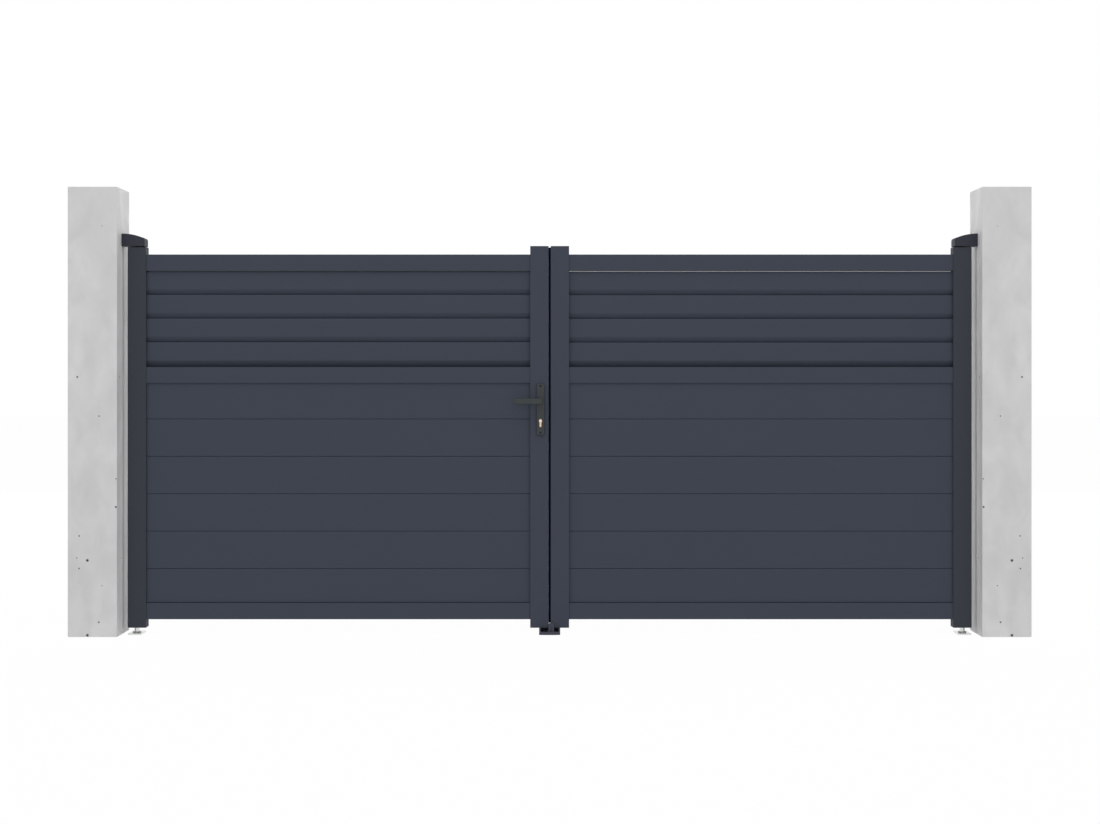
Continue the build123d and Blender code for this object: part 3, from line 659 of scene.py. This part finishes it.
def ground_anchor():
    """Hexagon-headed anchor on its washer, standing on the origin."""
    shape = bmesh.new()
    raised_disc(shape, WASHER_RADIUS, 0.0, WASHER_HEIGHT, WASHER_SIDES, WASHER_ROUND)
    corner = ANCHOR_FLATS / 2 / math.cos(math.pi / HEXAGON_SIDES)
    low = WASHER_HEIGHT - ANCHOR_SINK
    raised_disc(shape, corner, low, WASHER_HEIGHT + ANCHOR_HEIGHT, HEXAGON_SIDES, ANCHOR_ROUND)
    return shape


def gathered(single, placings):
    """Copies of one small shape at every placing, as one shape."""
    pattern = bpy.data.meshes.new("pattern")
    single.to_mesh(pattern)
    single.free()
    whole = bmesh.new()
    for placing in placings:
        known = len(whole.verts)
        whole.from_mesh(pattern)
        whole.verts.ensure_lookup_table()
        bmesh.ops.transform(whole, matrix=placing, verts=whole.verts[known:])
    bpy.data.meshes.remove(pattern)
    return whole


def facing(place, direction):
    """Placing that stands a shape at a place with its top towards a direction."""
    return Matrix.Translation(place) @ Vector(direction).to_track_quat("Z", "Y").to_matrix().to_4x4()


def bar(shape, low, high):
    """Straight bar between two corners; gives its edges."""
    size = [high[i] - low[i] for i in range(3)]
    middle = [(high[i] + low[i]) / 2 for i in range(3)]
    made = bmesh.ops.create_cube(shape, size=1.0, matrix=Matrix.LocRotScale(middle, None, size))
    return {edge for vert in made["verts"] for edge in vert.link_edges}


def lies_at(edge, axis, value):
    """Whether an edge lies in the plane across an axis at a value."""
    return all(abs(vert.co[axis] - value) < SAME_PLACE for vert in edge.verts)


def handle_screws():
    """Black socket screws in the recesses of both handle plates."""
    placings = []
    for node, side in (("front_handle_plate", -1), ("back_handle_plate", 1)):
        low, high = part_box(node)
        face_y = low[1] if side < 0 else high[1]
        for z in (low[2] + PLATE_SCREW_EDGE, high[2] - PLATE_SCREW_EDGE):
            place = ((low[0] + high[0]) / 2, face_y - side * PLATE_SCREW_RECESS, z)
            placings.append(facing(place, (0.0, side, 0.0)) @ Matrix.Scale(PLATE_SCREW_SCALE, 4))
    finished_piece("handle_screws", gathered(socket_screw(), placings), "painted_bracket", "left_leaf")


def edge_screws(name, node, side, shift, body):
    """Socket screws at the ends of the plate in a meeting edge."""
    low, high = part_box(node)
    face_x = high[0] if side > 0 else low[0]
    foot_x = face_x + side * (EDGE_SCREW_PROUD - SCREW_HEIGHT)
    placings = [
        facing((foot_x, (low[1] + high[1]) / 2 + shift, z), (side, 0.0, 0.0))
        for z in (low[2] + EDGE_SCREW_INSET, high[2] - EDGE_SCREW_INSET)
    ]
    finished_piece(name, gathered(socket_screw(), placings), "steel_plate", body)


def pivot_anchors(name, node):
    """Socket-headed ground anchors, nearly flush, in front of and behind a pivot stud."""
    low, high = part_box(node)
    middle_x = (low[0] + high[0]) / 2
    foot_z = PIVOT_PLATE_TOP + PIVOT_ANCHOR_PROUD - SCREW_HEIGHT * PIVOT_ANCHOR_SCALE
    placings = [
        Matrix.Translation((middle_x, y, foot_z)) @ Matrix.Scale(PIVOT_ANCHOR_SCALE, 4)
        for y in (low[1] + PIVOT_ANCHOR_EDGE, high[1] - PIVOT_ANCHOR_EDGE)
    ]
    finished_piece(name, gathered(socket_screw(), placings), "zinc_steel", "posts")


def stop_anchors():
    """Ground anchors in the flange behind the ground stop."""
    low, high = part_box("ground_stop")
    placings = [
        Matrix.Translation((x, high[1] - STOP_ANCHOR_BACK, STOP_FLOOR_TOP))
        for x in (low[0] + STOP_ANCHOR_SIDE, high[0] - STOP_ANCHOR_SIDE)
    ]
    finished_piece("stop_anchors", gathered(ground_anchor(), placings), "steel_plate", "posts")


def seal_lips():
    """Two thin lips along the meeting seal, rounded at the tip, and the tail at its foot."""
    low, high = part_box("meeting_seal")
    shape = bmesh.new()
    tip_x = low[0] - LIP_REACH
    for low_y in (low[1] + LIP_INSET, high[1] - LIP_INSET - LIP_THICKNESS):
        edges = bar(
            shape,
            (tip_x, low_y, low[2]),
            (low[0] + LIP_ROOT, low_y + LIP_THICKNESS, high[2]),
        )
        tip = [edge for edge in edges if lies_at(edge, 0, tip_x)]
        upright = [edge for edge in tip if abs(edge.verts[0].co.z - edge.verts[1].co.z) > LIP_THICKNESS]
        round_edges(shape, upright, LIP_ROUND, 3)
    tail = bar(
        shape,
        (tip_x, low[1] + LIP_INSET, low[2] - SEAL_TAIL),
        (high[0], high[1] - LIP_INSET, low[2] + LIP_ROUND),
    )
    underside = [edge for edge in tail if all(vert.co.z < low[2] for vert in edge.verts)]
    round_edges(shape, underside, LIP_ROUND, 2)
    finished_piece("seal_lips", shape, "black_rubber", "right_leaf")


def shade_line_gaskets(side):
    """Black rubber strips that close the bottom rail's groove along the boards' foot, front and back;
    their black also stands in as painted shade for the shadow line there.
    """
    rail_low, rail_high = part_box(f"{side}_bottom_rail")
    board_low, board_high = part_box(f"{side}_boards")
    shape = bmesh.new()
    for near, outward in ((board_low[1], -1), (board_high[1], 1)):
        far = near + outward * GASKET_DEPTH
        top_z = rail_high[2] + GASKET_HEIGHT
        edges = bar(
            shape,
            (rail_low[0], min(near, far), rail_high[2]),
            (rail_high[0], max(near, far), top_z),
        )
        shoulder = [edge for edge in edges if lies_at(edge, 1, far) and lies_at(edge, 2, top_z)]
        round_edges(shape, shoulder, GASKET_ROUND, 4)
    finished_piece(f"{side}_shade_line_gaskets", shape, "black_rubber", f"{side}_leaf")


handle_screws()
edge_screws("lock_plate_screws", "lock_faceplate", 1, 0.0, "left_leaf")
edge_screws("strike_plate_screws", "strike_plate", -1, STRIKE_SCREW_SHIFT, "right_leaf")
pivot_anchors("left_pivot_anchors", "left_bottom_pivot")
pivot_anchors("right_pivot_anchors", "right_bottom_pivot")
stop_anchors()
seal_lips()
shade_line_gaskets("left")
shade_line_gaskets("right")


def seen_rays(tree):
    """Is 1 for rays of the camera, of reflections and through clear pieces, and 0 for lighting."""
    rays = place_node(tree, "ShaderNodeLightPath")
    seen = math_node(tree, "MAXIMUM", rays.outputs["Is Camera Ray"], rays.outputs["Is Glossy Ray"])
    return math_node(tree, "MAXIMUM", seen, rays.outputs["Is Transmission Ray"])


def blended(tree, share, first, second):
    """Shader that turns from the first into the second by a share."""
    node = place_node(tree, "ShaderNodeMixShader")
    tree.links.new(share, node.inputs[0])
    tree.links.new(first.outputs[0], node.inputs[1])
    tree.links.new(second.outputs[0], node.inputs[2])
    return node.outputs[0]


def studio_surround():
    """White surround to the eye and in reflections, soft even light elsewhere."""
    world = bpy.data.worlds.new("studio_surround")
    world.use_nodes = True
    tree = world.node_tree
    tree.nodes.clear()
    direction = place_node(tree, "ShaderNodeTexCoord")
    split = place_node(tree, "ShaderNodeSeparateXYZ")
    tree.links.new(direction.outputs["Generated"], split.inputs[0])
    sideways = math_node(tree, "MULTIPLY", split.outputs["X"], split.outputs["X"])
    behind = math_node(tree, "ADD", split.outputs["Y"], SURROUND_TURN, clamp=True)
    ahead = math_node(tree, "SUBTRACT", 1.0, behind)
    change = math_node(tree, "MULTIPLY", sideways, SURROUND_FRONT_SIDES - SURROUND_FRONT)
    front_level = math_node(tree, "ADD", change, SURROUND_FRONT)
    back_level = math_node(tree, "MULTIPLY", sideways, SURROUND_BACK_SIDES)
    front_light = math_node(tree, "MULTIPLY", front_level, ahead)
    back_light = math_node(tree, "MULTIPLY", back_level, behind)
    strength = math_node(tree, "ADD", front_light, back_light)
    white = place_node(tree, "ShaderNodeBackground")
    white.inputs["Strength"].default_value = 1.0
    white.inputs["Color"].default_value = (1.0, 1.0, 1.0, 1.0)
    soft = place_node(tree, "ShaderNodeBackground")
    soft.inputs["Color"].default_value = (1.0, 1.0, 1.0, 1.0)
    tree.links.new(strength, soft.inputs["Strength"])
    output = place_node(tree, "ShaderNodeOutputWorld")
    tree.links.new(blended(tree, seen_rays(tree), soft, white), output.inputs[0])
    bpy.context.scene.world = world


def soft_lamp(name, power, size, place, aim):
    """Wide soft lamp that shows neither to the camera nor in bright metal."""
    lamp = bpy.data.lights.new(name, "AREA")
    lamp.shape = "RECTANGLE"
    lamp.size, lamp.size_y = size
    lamp.energy = power
    holder = bpy.data.objects.new(name, lamp)
    holder.location = place
    holder.rotation_euler = (Vector(aim) - Vector(place)).to_track_quat("-Z", "Y").to_euler()
    holder.visible_camera = False
    holder.visible_glossy = False
    bpy.context.scene.collection.objects.link(holder)


def pale_floor():
    """Plain white floor that keeps the soft shadow of the gate."""
    shape = bmesh.new()
    bmesh.ops.create_grid(shape, x_segments=1, y_segments=1, size=FLOOR_HALF_SIZE)
    mesh = bpy.data.meshes.new("pale_floor")
    shape.to_mesh(mesh)
    shape.free()
    floor = bpy.data.objects.new("pale_floor", mesh)
    bpy.context.scene.collection.objects.link(floor)
    material = bpy.data.materials.new("pale_floor")
    material.use_nodes = True
    tree = material.node_tree
    tree.nodes.clear()
    share = math_node(tree, "MULTIPLY", seen_rays(tree), FLOOR_GLOW)
    matt = place_node(tree, "ShaderNodeBsdfDiffuse")
    matt.inputs["Color"].default_value = (FLOOR_TONE, FLOOR_TONE, FLOOR_TONE, 1.0)
    glow = place_node(tree, "ShaderNodeEmission")
    glow.inputs["Strength"].default_value = 1.0
    output = place_node(tree, "ShaderNodeOutputMaterial")
    tree.links.new(blended(tree, share, matt, glow), output.inputs[0])
    mesh.materials.append(material)


def set_camera():
    """Level camera in front of the meeting stiles, with a small drop of the frame."""
    lens = bpy.data.cameras.new("front_camera")
    lens.sensor_fit = "HORIZONTAL"
    lens.sensor_width = SENSOR_WIDTH
    lens.lens = FOCAL_PIXELS * SENSOR_WIDTH / PICTURE_WIDTH
    lens.shift_x = (MIDDLE_COLUMN - AXIS_COLUMN) / PICTURE_WIDTH
    lens.shift_y = (HORIZON_ROW - MIDDLE_ROW) / PICTURE_WIDTH
    camera = bpy.data.objects.new("front_camera", lens)
    camera.location = CAMERA_PLACE
    camera.rotation_euler = (math.radians(90.0), 0.0, 0.0)
    bpy.context.scene.collection.objects.link(camera)
    bpy.context.scene.camera = camera


studio_surround()
soft_lamp("top_lamp", TOP_LAMP_POWER, TOP_LAMP_SIZE, TOP_LAMP_PLACE, LAMP_AIM)
soft_lamp("back_lamp", BACK_LAMP_POWER, BACK_LAMP_SIZE, BACK_LAMP_PLACE, LAMP_AIM)
pale_floor()
set_camera()
bpy.context.scene.view_settings.view_transform = "Standard"
